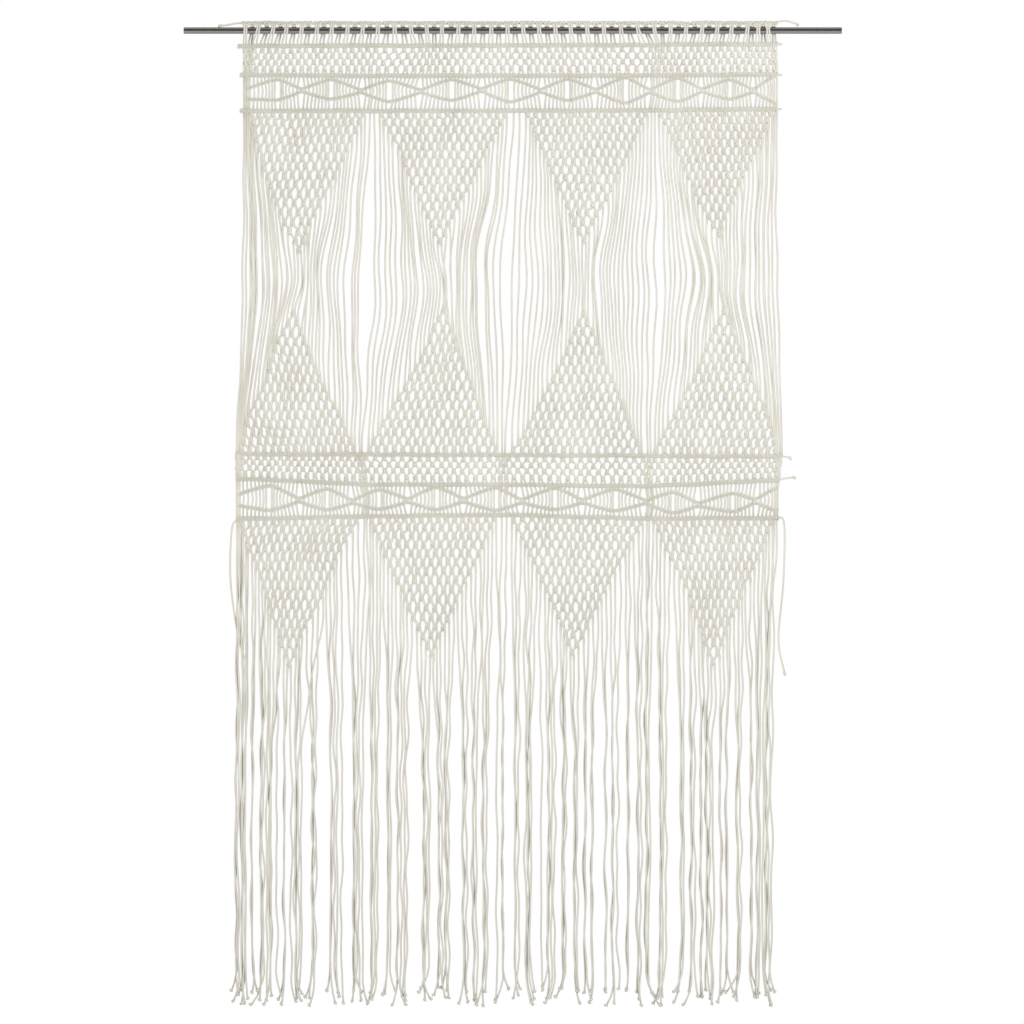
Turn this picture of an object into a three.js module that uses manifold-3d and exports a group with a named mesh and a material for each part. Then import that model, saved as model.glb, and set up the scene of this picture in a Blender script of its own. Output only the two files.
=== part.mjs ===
// Macrame curtain hanging on its rod: 1.33 m of knotted cotton cord, 2.4 m from the top knots to the lowest tips.
// Millimetres, +Z up, +X to the right as seen from the front, which faces -Y.
// The origin is on the rod's axis at the middle of its length.
import * as THREE from "three";
import { mergeVertices } from "three/addons/utils/BufferGeometryUtils.js";
import Module from "manifold-3d";

const wasm = await Module();
wasm.setup();

// Rod
const rodLength = 1600;
const rodRadius = 8;
const rodSides = 24;

// Cord and knots
const strandRadius = 2.7; // to the corners of a three-sided strand, which stands for a 4 mm cord
const netDepth = 6; // front to back
const barHalfHeight = 6.3; // a filler cord wrapped in double half hitches
const barHalfDepth = 5.5;
const barFlat = 4.6; // half depth of a bar's flat top and bottom, where strands go in
const ridgeHalfHeight = 4; // a row of knots that stands proud of a net
const ridgeHalfDepth = 4.8;
const ridgeOverhang = 2; // past the sides of the net
const rootDepth = 5; // how far a strand goes into the side of the net that holds it
const partingGap = 0.4; // between the panel and the fringe
const unevenness = 0.8; // how far a corner of a gap lies out of place
const fineness = 0.02; // nothing smaller is kept where pieces are joined

// Mounting cord, above the rod, and the folded cords that hang from it
const mountBottom = rodRadius + 0.4;
const mountHeight = 14;
const mountHalfDepth = 6;
const mountOverhang = 3; // past the outermost pairs
const foldedPairs = 70; // each is one cord folded in half
const pairHalfWidth = 3.6;
const pairHalfDepth = 1.9;
const pairRoot = 3; // how far in front of the mounting cord's middle, or behind it, a pair starts
const pairPass = [
  { away: 12.5, z: 5 }, // from the rod's axis, in front of it or behind it
  { away: 12.3, z: -8 },
];
const pairFoot = 4; // above the middle of bar 1
const pairSteps = 3;
const headerLeft = -655;
const headerRight = 640;

// Bars: the heights run from the left tip to the right tip in quarters of the length
const bars = {
  first: { left: -670, right: 655, heights: [-38, -37, -36, -35, -33] },
  second: { left: -670, right: 655, heights: [-108, -110, -110, -109, -107] },
  third: { left: -668, right: 652, heights: [-196, -195, -195, -194, -191] },
  fourth: { left: -676, right: 656, heights: [-1030, -1031, -1032, -1034, -1036] },
  fifth: { left: -674, right: 650, heights: [-1089, -1104, -1104, -1108, -1093] },
  sixth: { left: -674, right: 648, heights: [-1188, -1181, -1178, -1186, -1186] },
};

// Lozenge bands: the middle of each lozenge, then the crossings of the two ridges, the first at the left edge.
// The right end stays open.
const lozengeBands = [
  {
    over: bars.second,
    under: bars.third,
    middles: [-572, -437, -300, -145, -5, 126, 268, 400, 524],
    crossings: [-646, -506, -369, -224, -76, 65, 205, 334, 458, 584],
    openEnd: 640,
    lean: 2, // the crossings lie this much above the middle of the band
    halfHeight: 27,
  },
  {
    over: bars.fifth,
    under: bars.sixth,
    middles: [-590, -454, -328, -187, -41, 105, 249, 390, 526],
    crossings: [-664, -520, -393, -255, -116, 13, 171, 324, 453, 594],
    openEnd: 640,
    lean: -2,
    halfHeight: 24,
  },
];
const zigzagHalfHeight = 4.6; // of the ridge itself
const zigzagHalfDepth = 5;
const strandSheetDepth = 4; // the close strands between the bars
const slotHalfWidth = 8; // the open slot in the middle of a lozenge
const slotHalfHeight = 17;
const mouthReach = 11; // from a crossing to where the two ridges part
const openRise = 0.8; // at the open right end, the share of the half height that the ridges reach
const wedgeHalfWidth = 11; // the open wedge between two lozenges
const wedgeMargin = 4; // from a wedge to the bar and to the ridges
const bandSideInset = 8; // from a bar's tip to the side of the band

// Nets: x of the left and of the right side at 0, 1/4, 1/2 and 3/4 of the way from the wide end to the tip
const upperNets = [
  { left: [-638, -617, -593, -571], right: [-352, -398, -437, -482], tipX: -519, tipZ: -546 },
  { left: [-330, -285, -251, -220], right: [-9, -54, -95, -138], tipX: -179, tipZ: -525 },
  { left: [30, 69, 104, 132], right: [330, 290, 255, 213], tipX: 173, tipZ: -520 },
  { left: [354, 390, 424, 459], right: [634, 606, 566, 533], tipX: 502, tipZ: -503 },
];
const middleNets = [
  { left: [-668, -642, -601, -576], right: [-376, -421, -464, -500], tipX: -533, tipZ: -679 },
  { left: [-354, -300, -247, -205], right: [-31, -74, -105, -134], tipX: -168, tipZ: -672 },
  { left: [-15, 38, 83, 133], right: [321, 287, 256, 216], tipX: 173, tipZ: -679 },
  { left: [342, 382, 435, 474], right: [648, 621, 587, 551], tipX: 513, tipZ: -672 },
];
const lowerNets = [
  { left: [-663, -633, -595, -569], right: [-367, -429, -464, -514], tipX: -544, tipZ: -1552 },
  { left: [-347, -312, -272, -235], right: [-38, -80, -119, -158], tipX: -195, tipZ: -1530 },
  { left: [-4, 40, 74, 113], right: [319, 275, 234, 194], tipX: 142, tipZ: -1524 },
  { left: [339, 386, 429, 460], right: [633, 599, 558, 521], tipX: 487, tipZ: -1548 },
];
const tipHalfWidth = 7;
const netPitch = 41; // twice the pitch of the knots
const gapHalfWidth = 13;
const gapHalfHeight = 16;
const gapMargin = 20; // from a gap to the side of the net
const firstGapRow = 30; // from the bar
const gapRows = 4; // nearer the tip the knots lie close

// Slack strands between the upper and the middle nets, at the height where they are widest apart
const strandsPerSide = 11;
const fanHeight = -607;
const fanCrowding = 0.72; // share of the even spacing that is left next to the axis
const tipShare = 0.6; // of a spacing, from the last strand to the net's tip
const fans = [
  { axis: -521, left: -632, right: -384 },
  { axis: -170, left: -322, right: -48 },
  { axis: 174, left: 14, right: 317 },
  { axis: 505, left: 368, right: 614 },
];
const slackSteps = 2;

// Strands that no net takes: x at bar 3, at the fan height and at the foot, and the foot's height
const freeStrands = [
  { top: -661, middle: -655, foot: -660, footZ: -1010 },
  { top: -654, middle: -647.5, foot: -656, footZ: -996 },
  { top: -647, middle: -640, foot: -651, footZ: -980 },
  { top: -346, middle: -376, foot: -370, footZ: -1031 },
  { top: -337, middle: -338, foot: -361, footZ: -1031 },
  { top: 2, middle: -28, foot: -26, footZ: -1031 },
  { top: 16, middle: -6, foot: -18, footZ: -1031 },
  { top: 337, middle: 328, foot: 328, footZ: -1034 },
  { top: 346, middle: 348, foot: 336, footZ: -1034 },
  { top: 638.5, middle: 622, foot: 629, footZ: -980 },
  { top: 645, middle: 630, foot: 635, footZ: -998 },
  { top: 651, middle: 641, foot: 654, footZ: -1034 },
];

// Fringe: the free strands' x at bar 6, and the locks that the strands gather into at the hem
const fringeFree = [-670, -664, -658, -361, -353, -28, -14, 325, 333, 631, 637, 643];
const locks = [
  { x: -648, strands: 4 },
  { x: -628, strands: 3 },
  { x: -598, strands: 3 },
  { x: -566, strands: 3 },
  { x: -540, strands: 3 },
  { x: -518, strands: 3 },
  { x: -478, strands: 3 },
  { x: -430, strands: 3 },
  { x: -374, strands: 3 },
  { x: -336, strands: 3 },
  { x: -300, strands: 2 },
  { x: -272, strands: 3 },
  { x: -205, strands: 4 },
  { x: -155, strands: 3 },
  { x: -120, strands: 3 },
  { x: -72, strands: 3 },
  { x: -25, strands: 2 },
  { x: 16, strands: 3 },
  { x: 44, strands: 3 },
  { x: 94, strands: 3 },
  { x: 128, strands: 3 },
  { x: 176, strands: 3 },
  { x: 226, strands: 3 },
  { x: 256, strands: 3 },
  { x: 284, strands: 3 },
  { x: 320, strands: 3 },
  { x: 366, strands: 3 },
  { x: 412, strands: 2 },
  { x: 440, strands: 3 },
  { x: 482, strands: 2 },
  { x: 508, strands: 3 },
  { x: 548, strands: 3 },
  { x: 582, strands: 3 },
  { x: 622, strands: 3 },
];
const lockSpread = 3.2; // from strand to strand in a lock, which lie in three layers
const layerDepth = 6.3;
const hemLow = -2374;
const hemHigh = -2318;
const fringeRoute = [
  { gathered: 0.35, layered: 0.8, z: -1560 },
  { gathered: 0.85, layered: 1, z: -1800 },
  { gathered: 1, layered: 1, z: -2080 },
];
const gatherDrop = 90; // at least this far below a strand's root
const fringeSteps = 4;
const flickLeast = 3.6; // how far the tips of a lock turn aside
const flickMost = 9;
const flickLength = 55;

// Loose ends of the bars' filler cords
const tails = {
  mountLeft: [[-650, 0, 18], [-670, 0, 18], [-690, -1, 14], [-712, 0, 11.6]],
  mountRight: [[634, 0, 19], [655, 0, 23], [672, 0, 22], [692, 0, 15]],
  fourthRight: [[650, 0, -1036], [664, 0, -1037], [675, 0, -1040]],
  fifthRight: [[644, 0, -1094], [664, 0, -1089], [684, 0, -1087]],
  sixthLeft: [[-668, 0, -1188], [-683, 1, -1212], [-687, 1, -1330], [-672, 0, -1450], [-654, 3, -1525]],
  sixthRight: [[642, 0, -1184], [660, 0, -1200], [658, 0, -1340], [646, 0, -1480], [661, 0, -1564]],
};
const tailSteps = 5;

// Seeded numbers between 0 and 1
let seed = 20261;
function chance() {
  seed = (seed * 16807) % 2147483647;
  return seed / 2147483647;
}

function uneven() {
  return unevenness * (2 * chance() - 1);
}

// Solids from geometry, and back
function solidFrom(geometry) {
  const bare = geometry.index ? geometry.toNonIndexed() : geometry;
  bare.deleteAttribute("normal");
  bare.deleteAttribute("uv");
  const merged = mergeVertices(bare, 1e-3);
  const triVerts = new Uint32Array(merged.index.array);
  const vertProperties = merged.attributes.position.array;
  const made = new wasm.Manifold(new wasm.Mesh({ numProp: 3, vertProperties, triVerts }));
  if (made.volume() > 0) return made;
  const turned = triVerts.map((_, i) => triVerts[i - (i % 3) + 2 - (i % 3)]);
  return new wasm.Manifold(new wasm.Mesh({ numProp: 3, vertProperties, triVerts: turned }));
}

// Joins solids two by two, so that the large ones are joined last
function joined(solids) {
  let left = solids;
  while (left.length > 1) {
    const next = [];
    for (let i = 0; i < left.length; i += 2) {
      next.push(i + 1 < left.length ? left[i].add(left[i + 1]) : left[i]);
    }
    left = next;
  }
  return left[0];
}

function meshFrom(solid, name, material) {
  const { vertProperties, triVerts } = solid.simplify(fineness).getMesh();
  const geometry = new THREE.BufferGeometry();
  geometry.setAttribute("position", new THREE.BufferAttribute(vertProperties, 3));
  geometry.setIndex(new THREE.BufferAttribute(triVerts, 1));
  geometry.computeVertexNormals();
  const mesh = new THREE.Mesh(geometry, material);
  mesh.name = name;
  return mesh;
}

// Cross-sections: the first number of a point lies across the path, front to back on one that runs sideways
const strandSection = new THREE.Shape(
  [90, 210, 330].map((degrees) => {
    const angle = THREE.MathUtils.degToRad(degrees);
    return new THREE.Vector2(strandRadius * Math.cos(angle), strandRadius * Math.sin(angle));
  }),
);
const barSection = new THREE.Shape([
  new THREE.Vector2(barFlat, barHalfHeight),
  new THREE.Vector2(-barFlat, barHalfHeight),
  new THREE.Vector2(-barHalfDepth, 0),
  new THREE.Vector2(-barFlat, -barHalfHeight),
  new THREE.Vector2(barFlat, -barHalfHeight),
  new THREE.Vector2(barHalfDepth, 0),
]);
const ridgeSection = new THREE.Shape([
  new THREE.Vector2(ridgeHalfDepth, 0),
  new THREE.Vector2(0, ridgeHalfHeight),
  new THREE.Vector2(-ridgeHalfDepth, 0),
  new THREE.Vector2(0, -ridgeHalfHeight),
]);
const pairSection = new THREE.Shape([
  new THREE.Vector2(pairHalfWidth, -pairHalfDepth),
  new THREE.Vector2(0, pairHalfDepth),
  new THREE.Vector2(-pairHalfWidth, -pairHalfDepth),
]);

function along(points, section, steps) {
  const path = new THREE.CatmullRomCurve3(points);
  return solidFrom(new THREE.ExtrudeGeometry(section, { steps, bevelEnabled: false, extrudePath: path }));
}

// A flat piece drawn in x and z, centred on the cloth's middle plane
function plate(shape, depth) {
  const geometry = new THREE.ExtrudeGeometry(shape, { depth, bevelEnabled: false });
  geometry.translate(0, 0, -depth / 2);
  geometry.rotateX(Math.PI / 2);
  return solidFrom(geometry);
}

// An outline runs counterclockwise, which lets its holes run either way
function outline(points) {
  const corners = points.map(([x, z]) => new THREE.Vector2(x, z));
  return new THREE.Shape(THREE.ShapeUtils.isClockWise(corners) ? corners.reverse() : corners);
}

// A gap's corners, each a little out of place as in hand-made work
function hole(points) {
  return new THREE.Path(points.map(([x, z]) => new THREE.Vector2(x + uneven(), z + uneven())));
}

// The value at a share of the way along a short list of evenly spaced values
function between(values, share) {
  const place = THREE.MathUtils.clamp(share, 0, 1) * (values.length - 1);
  const i = Math.min(Math.floor(place), values.length - 2);
  return THREE.MathUtils.lerp(values[i], values[i + 1], place - i);
}

function barHeight(bar, x) {
  return between(bar.heights, (x - bar.left) / (bar.right - bar.left));
}

function barSolid(bar) {
  const points = bar.heights.map((z, i) => {
    const x = THREE.MathUtils.lerp(bar.left, bar.right, i / (bar.heights.length - 1));
    return new THREE.Vector3(x, 0, z);
  });
  return along(points, barSection, points.length - 1);
}

// Points of a bar's upper or lower side, used as the side of a plate that is fixed to it
function barSide(bar, left, right, offset) {
  const quarters = [0.25, 0.5, 0.75].map((share) => THREE.MathUtils.lerp(bar.left, bar.right, share));
  return [left, ...quarters, right].map((x) => [x, barHeight(bar, x) + offset]);
}

function tail(points) {
  return along(points.map((p) => new THREE.Vector3(...p)), strandSection, tailSteps);
}

// Header: the mounting cord and the pairs that pass the rod in front and behind in turn
function headerSolids() {
  const middleZ = mountBottom + mountHeight / 2;
  const length = headerRight - headerLeft + 2 * (pairHalfWidth + mountOverhang);
  const mount = new THREE.BoxGeometry(length, 2 * mountHalfDepth, mountHeight);
  mount.translate((headerLeft + headerRight) / 2, 0, middleZ);
  const solids = [solidFrom(mount)];
  for (let i = 0; i < foldedPairs; i += 1) {
    const x = THREE.MathUtils.lerp(headerLeft, headerRight, i / (foldedPairs - 1));
    const side = i % 2 === 0 ? -1 : 1;
    const points = [
      new THREE.Vector3(x, side * pairRoot, middleZ),
      ...pairPass.map(({ away, z }) => new THREE.Vector3(x, side * away, z)),
      new THREE.Vector3(x, 0, barHeight(bars.first, x) + pairFoot),
    ];
    solids.push(along(points, pairSection, pairSteps));
  }
  return solids;
}

// A close net between two bars, with a row of knots that stands proud
function netBand(over, under) {
  const left = over.left + bandSideInset;
  const right = over.right - bandSideInset;
  const top = barSide(over, left, right, 0);
  const bottom = barSide(under, left, right, 0).reverse();
  const ridge = barSide(over, left - ridgeOverhang, right + ridgeOverhang, 0).map(([x, z]) => {
    return new THREE.Vector3(x, 0, (z + barHeight(under, x)) / 2);
  });
  return [plate(outline([...bottom, ...top]), netDepth), along(ridge, ridgeSection, ridge.length - 1)];
}

// A band of close strands with slots and wedges cut through, and the two crossing ridges that make its lozenges
function lozengeBand(band, underOffset) {
  const { over, under, middles, crossings } = band;
  const left = over.left + bandSideInset;
  const right = over.right - bandSideInset;
  const top = barSide(over, left, right, 0);
  const bottom = barSide(under, left, right, underOffset).reverse();
  const sheet = outline([...bottom, ...top]);
  const centre = (x) => (barHeight(over, x) + barHeight(under, x)) / 2;
  for (const x of middles) {
    const z = centre(x);
    sheet.holes.push(
      hole([
        [x, z + slotHalfHeight],
        [x + slotHalfWidth, z],
        [x, z - slotHalfHeight],
        [x - slotHalfWidth, z],
      ]),
    );
  }
  for (const x of crossings.slice(1)) {
    const z = centre(x) + band.lean;
    const roof = barHeight(over, x) - barHalfHeight - wedgeMargin;
    const floor = barHeight(under, x) + barHalfHeight + wedgeMargin;
    const clear = zigzagHalfHeight + wedgeMargin;
    sheet.holes.push(hole([[x, z + clear], [x + wedgeHalfWidth, roof], [x - wedgeHalfWidth, roof]]));
    sheet.holes.push(hole([[x, z - clear], [x - wedgeHalfWidth, floor], [x + wedgeHalfWidth, floor]]));
  }
  return [plate(sheet, strandSheetDepth), plate(zigzags(band, centre), 2 * zigzagHalfDepth)];
}

// Both ridges as one chain of lozenges: the outline runs along the tops and back along the feet
function zigzags({ middles, crossings, openEnd, lean, halfHeight }, centre) {
  const half = zigzagHalfHeight;
  const tops = [];
  const feet = [];
  crossings.forEach((x, i) => {
    tops.push([x, centre(x) + lean + half]);
    feet.push([x, centre(x) + lean - half]);
    if (i < middles.length) {
      tops.push([middles[i], centre(middles[i]) + halfHeight + half]);
      feet.push([middles[i], centre(middles[i]) - halfHeight - half]);
    }
  });
  const rise = halfHeight * openRise;
  const mouth = crossings[crossings.length - 1] + mouthReach;
  const end = [
    [openEnd, centre(openEnd) + rise + half],
    [openEnd, centre(openEnd) + rise - half],
    [mouth, centre(mouth) + lean],
    [openEnd, centre(openEnd) - rise + half],
    [openEnd, centre(openEnd) - rise - half],
  ];
  const chain = outline([...tops, ...end, ...feet.reverse()]);
  middles.forEach((x, i) => {
    const from = crossings[i] + mouthReach;
    const to = crossings[i + 1] - mouthReach;
    chain.holes.push(
      hole([
        [from, centre(from) + lean],
        [x, centre(x) - halfHeight + half],
        [to, centre(to) + lean],
        [x, centre(x) + halfHeight - half],
      ]),
    );
  });
  return chain;
}

// Nets: a side is one of a net's two lists of x, and a height is a share of the way from the wide end to the tip
function sideAt(net, side, share) {
  const tip = net.tipX + (side === "left" ? -tipHalfWidth : tipHalfWidth);
  return between([...net[side], tip], share);
}

function netSolid(net, bar) {
  const rootZ = barHeight(bar, net.tipX);
  const fall = net.tipZ - rootZ;
  const down = Math.sign(fall);
  const shares = [0.25, 0.5, 0.75, 1];
  const leftSide = shares.map((share) => [sideAt(net, "left", share), rootZ + fall * share]);
  const rightSide = shares.map((share) => [sideAt(net, "right", share), rootZ + fall * share]);
  const rim = [
    [net.left[0], barHeight(bar, net.left[0])],
    ...leftSide,
    ...rightSide.reverse(),
    [net.right[0], barHeight(bar, net.right[0])],
  ];
  const shape = outline(rim);
  for (let row = 0; row < gapRows; row += 1) {
    const z = rootZ + down * (firstGapRow + row * netPitch);
    const near = (z - down * gapHalfHeight - rootZ) / fall;
    const far = (z + down * gapHalfHeight - rootZ) / fall;
    const left = Math.max(sideAt(net, "left", near), sideAt(net, "left", far)) + gapMargin;
    const right = Math.min(sideAt(net, "right", near), sideAt(net, "right", far)) - gapMargin;
    const count = Math.floor((right - left - 2 * gapHalfWidth) / netPitch) + 1;
    for (let i = 0; i < count; i += 1) {
      const x = (left + right) / 2 + (i - (count - 1) / 2) * netPitch;
      shape.holes.push(
        hole([[x + gapHalfWidth, z], [x, z + gapHalfHeight], [x - gapHalfWidth, z], [x, z - gapHalfHeight]]),
      );
    }
  }
  return plate(shape, netDepth);
}

// Where a strand leaves a net's side: order 1 is at the wide corner, and the last is next to the tip
function rootOnNet(net, bar, side, order) {
  const rootZ = barHeight(bar, net.tipX);
  const share = order / (strandsPerSide + tipShare);
  const inward = side === "left" ? rootDepth : -rootDepth;
  return new THREE.Vector3(sideAt(net, side, share) + inward, 0, rootZ + (net.tipZ - rootZ) * share);
}

// Slack strands: each leaves an upper net, runs through its place in the fan and goes into the net below
function slackSolids() {
  const solids = [];
  fans.forEach((fan, column) => {
    for (const side of ["left", "right"]) {
      for (let order = 1; order <= strandsPerSide; order += 1) {
        const start = rootOnNet(upperNets[column], bars.third, side, order);
        const foot = rootOnNet(middleNets[column], bars.fourth, side, order);
        const out = (strandsPerSide + tipShare - order) / (strandsPerSide + tipShare - 1);
        const x = fan.axis + (fan[side] - fan.axis) * (fanCrowding * out + (1 - fanCrowding) * out ** 3);
        const middle = new THREE.Vector3(x, 0, fanHeight);
        solids.push(along([start, middle, foot], strandSection, slackSteps));
      }
    }
  });
  for (const { top, middle, foot, footZ } of freeStrands) {
    const points = [
      new THREE.Vector3(top, 0, barHeight(bars.third, top)),
      new THREE.Vector3(middle, 0, fanHeight),
      new THREE.Vector3(foot, 0, footZ),
    ];
    solids.push(along(points, strandSection, slackSteps));
  }
  return solids;
}

// Fringe strands from left to right, each with its place in a lock at the hem
function fringeRoots() {
  const roots = fringeFree.map((x) => new THREE.Vector3(x, 0, barHeight(bars.sixth, x)));
  for (const net of lowerNets) {
    for (const side of ["left", "right"]) {
      for (let order = 1; order <= strandsPerSide; order += 1) {
        roots.push(rootOnNet(net, bars.sixth, side, order));
      }
    }
  }
  return roots.sort((a, b) => a.x - b.x);
}

function fringeSolids() {
  const roots = fringeRoots();
  const solids = [];
  let i = 0;
  locks.forEach(({ x, strands }, lock) => {
    const turn = (lock % 2 === 0 ? 1 : -1) * THREE.MathUtils.lerp(flickLeast, flickMost, chance());
    for (let j = 0; j < strands; j += 1) {
      const root = roots[i];
      const hemX = x + (j - (strands - 1) / 2) * lockSpread;
      const y = ((i % 3) - 1) * layerDepth;
      const hemZ = THREE.MathUtils.lerp(hemLow, hemHigh, chance());
      const route = fringeRoute.map(({ gathered, layered, z }) => {
        const routeX = THREE.MathUtils.lerp(root.x, hemX, gathered);
        return new THREE.Vector3(routeX, y * layered, Math.min(z, root.z - gatherDrop));
      });
      const points = [
        root,
        ...route,
        new THREE.Vector3(hemX, y, hemZ + flickLength),
        new THREE.Vector3(hemX + turn, y, hemZ),
      ];
      solids.push(along(points, strandSection, fringeSteps));
      i += 1;
    }
  });
  if (i !== roots.length) throw new Error(`the locks hold ${i} strands of ${roots.length}`);
  return solids;
}

// Materials
const steel = new THREE.MeshStandardMaterial({ color: 0xa8a39d, roughness: 0.35, metalness: 1 });
const cotton = new THREE.MeshStandardMaterial({ color: 0xeae5d8, roughness: 0.9, metalness: 0 });

// Rod
function rodMesh() {
  const geometry = new THREE.CylinderGeometry(rodRadius, rodRadius, rodLength, rodSides);
  geometry.rotateZ(Math.PI / 2);
  const mesh = new THREE.Mesh(geometry, steel);
  mesh.name = "rod";
  return mesh;
}

// Curtain panel, from the mounting cord to just above bar 6
function panelSolid() {
  const { first, second, third, fourth, fifth } = bars;
  const panelFoot = barHalfHeight + partingGap;
  return joined([
    ...headerSolids(),
    tail(tails.mountLeft),
    tail(tails.mountRight),
    ...[first, second, third, fourth, fifth].map(barSolid),
    ...netBand(first, second),
    ...lozengeBand(lozengeBands[0], 0),
    ...upperNets.map((net) => netSolid(net, third)),
    ...slackSolids(),
    ...middleNets.map((net) => netSolid(net, fourth)),
    ...netBand(fourth, fifth),
    ...lozengeBand(lozengeBands[1], panelFoot),
    tail(tails.fourthRight),
    tail(tails.fifthRight),
  ]);
}

// Fringe, with bar 6 as the strip that its strands are rooted in
function fringeSolid() {
  return joined([
    barSolid(bars.sixth),
    ...lowerNets.map((net) => netSolid(net, bars.sixth)),
    ...fringeSolids(),
    tail(tails.sixthLeft),
    tail(tails.sixthRight),
  ]);
}

const curtain = new THREE.Group();
curtain.add(rodMesh());
curtain.add(meshFrom(panelSolid(), "curtain_panel", cotton));
curtain.add(meshFrom(fringeSolid(), "fringe", cotton));

export default curtain;
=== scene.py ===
import math

import bpy
import numpy as np
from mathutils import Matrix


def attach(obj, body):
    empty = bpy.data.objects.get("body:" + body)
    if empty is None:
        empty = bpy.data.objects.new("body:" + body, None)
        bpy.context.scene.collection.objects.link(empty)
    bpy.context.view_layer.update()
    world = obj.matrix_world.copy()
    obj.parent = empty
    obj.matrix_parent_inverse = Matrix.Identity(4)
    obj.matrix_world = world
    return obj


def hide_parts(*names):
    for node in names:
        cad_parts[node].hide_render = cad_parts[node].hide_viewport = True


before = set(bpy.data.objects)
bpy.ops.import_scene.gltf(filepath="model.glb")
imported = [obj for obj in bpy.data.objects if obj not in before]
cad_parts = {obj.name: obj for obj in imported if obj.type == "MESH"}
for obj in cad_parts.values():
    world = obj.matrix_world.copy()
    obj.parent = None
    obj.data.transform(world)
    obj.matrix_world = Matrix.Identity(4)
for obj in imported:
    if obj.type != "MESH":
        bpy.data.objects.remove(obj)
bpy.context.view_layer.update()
print("frame loaded")

# Sizes are millimetres, with +Z up, the rod along X and the front towards -Y. A mesh gets them in metres.
toMetres = 0.001
fullTurn = 2 * math.pi

cord = {
    "radius": 2.4,
    "sides": 5,
    "count": 140,
    "netRadius": 3.45,  # knots swell the strands between them
    "coreSides": 6,  # of a filler cord, which its hitches nearly hide
    "lay": 15.0,  # length in which the plies go once round
    "plies": 3,
}

# Heights run from the left tip to the right tip of a bar, in quarters of its length
bars = {
    "first": {"left": -670, "right": 655, "hitched": 643, "heights": [-38, -37, -36, -35, -33]},
    "second": {"left": -664, "right": 655, "hitched": 643, "heights": [-108, -110, -110, -109, -107]},
    "third": {"left": -664, "right": 654, "hitched": 642, "heights": [-196, -195, -195, -194, -191]},
    "fourth": {"left": -676, "right": 656, "hitched": 652, "heights": [-1030, -1031, -1032, -1034, -1036]},
    "fifth": {"left": -674, "right": 650, "hitched": 647, "heights": [-1089, -1104, -1104, -1108, -1093]},
    "sixth": {"left": -674, "right": 648, "hitched": 646, "heights": [-1188, -1181, -1178, -1186, -1186]},
}

# Each row of nets has four. x of the first and of the last knot of a row of knots is given at 0, 1/4, 1/2
# and 3/4 of the way to the net's tip, and x of the strands that no net takes where they cross the bar.
nets = {
    "upper": {
        "bar": "third",
        "left": [
            [-637, -617, -592, -566], [-325, -280, -245, -212], [32, 68, 106, 135], [356, 394, 425, 461],
        ],
        "right": [
            [-357, -403, -441, -486], [-12, -60, -99, -143], [327, 287, 252, 209], [630, 599, 563, 530],
        ],
        "tipX": [-519, -179, 173, 502],
        "tipZ": [-546, -525, -520, -503],
        "free": [-654, -650, -646, -641, -347, -337, 2, 16, 337, 345, 637, 642],
    },
    "middle": {
        "bar": "fourth",
        "left": [
            [-661, -643, -597, -573], [-359, -307, -250, -202], [-12, 40, 88, 134], [345, 385, 436, 477],
        ],
        "right": [
            [-380, -425, -469, -507], [-33, -74, -110, -141], [319, 284, 251, 211], [642, 622, 584, 545],
        ],
        "tipX": [-533, -168, 173, 513],
        "tipZ": [-679, -672, -679, -672],
        "free": [-672, -670, -668, -665, -372, -367, -26, -19, 328, 335, 649, 654],
    },
    "lower": {
        "bar": "sixth",
        "left": [
            [-662, -633, -600, -570], [-347, -315, -279, -240], [-4, 33, 71, 110], [340, 384, 429, 460],
        ],
        "right": [
            [-371, -430, -463, -513], [-38, -80, -119, -160], [319, 278, 234, 193], [629, 597, 554, 519],
        ],
        "tipX": [-544, -195, 142, 487],
        "tipZ": [-1552, -1530, -1524, -1548],
        "free": [-671, -669, -667, -664, -361, -355, -27, -15, 326, 332, 636, 641],
    },
}
netColumns = 4
netRows = 16
netStrands = 32
netMargin = 4  # from the outer knots of the first row to the outer strands on the bar
freeOrder = [4, 2, 2, 2, 2]  # strands that no net takes, before, between and after the nets

# The first strand of each net in a row of nets, and the strands that no net takes
columnStart = np.array([sum(freeOrder[:column + 1]) + netStrands * column for column in range(netColumns)])
freeStrands = np.setdiff1d(np.arange(cord["count"]), columnStart[:, None] + np.arange(netStrands))

driftWaves = 6
driftPeak = 2.4  # that many sines seldom add up to more


class Shuffle:
    # Seeded chance, one for each use so that a change to one leaves the others alone
    def __init__(self, seed):
        self.source = np.random.default_rng(seed)

    def spread(self, amount, shape):
        return self.source.uniform(-amount, amount, shape)


def drift(x, z, seed, amount, reach):
    # A slow random wander over the cloth: a sum of sines of x and z with seeded directions and phases
    source = np.random.default_rng(seed)
    total = np.zeros(np.broadcast(x, z).shape)
    for _ in range(driftWaves):
        waveX, waveZ = source.normal(0, fullTurn / reach, 2)
        total = total + np.sin(waveX * x + waveZ * z + source.uniform(0, fullTurn))
    return amount * total / driftPeak


def smooth(share):
    # 0 to 1 with a level start and a level end: 3 s squared less 2 s cubed
    s = np.clip(share, 0, 1)
    return s * s * (3 - 2 * s)


def barZ(name, x):
    # Height of a bar's middle: straight lines between its given heights
    bar = bars[name]
    quarters = np.linspace(bar["left"], bar["right"], len(bar["heights"]))
    return np.interp(x, quarters, bar["heights"])


def stack(x, y, z):
    # Three arrays that broadcast together become one array of points
    return np.stack(np.broadcast_arrays(x, y, z), -1).astype(float)


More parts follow.
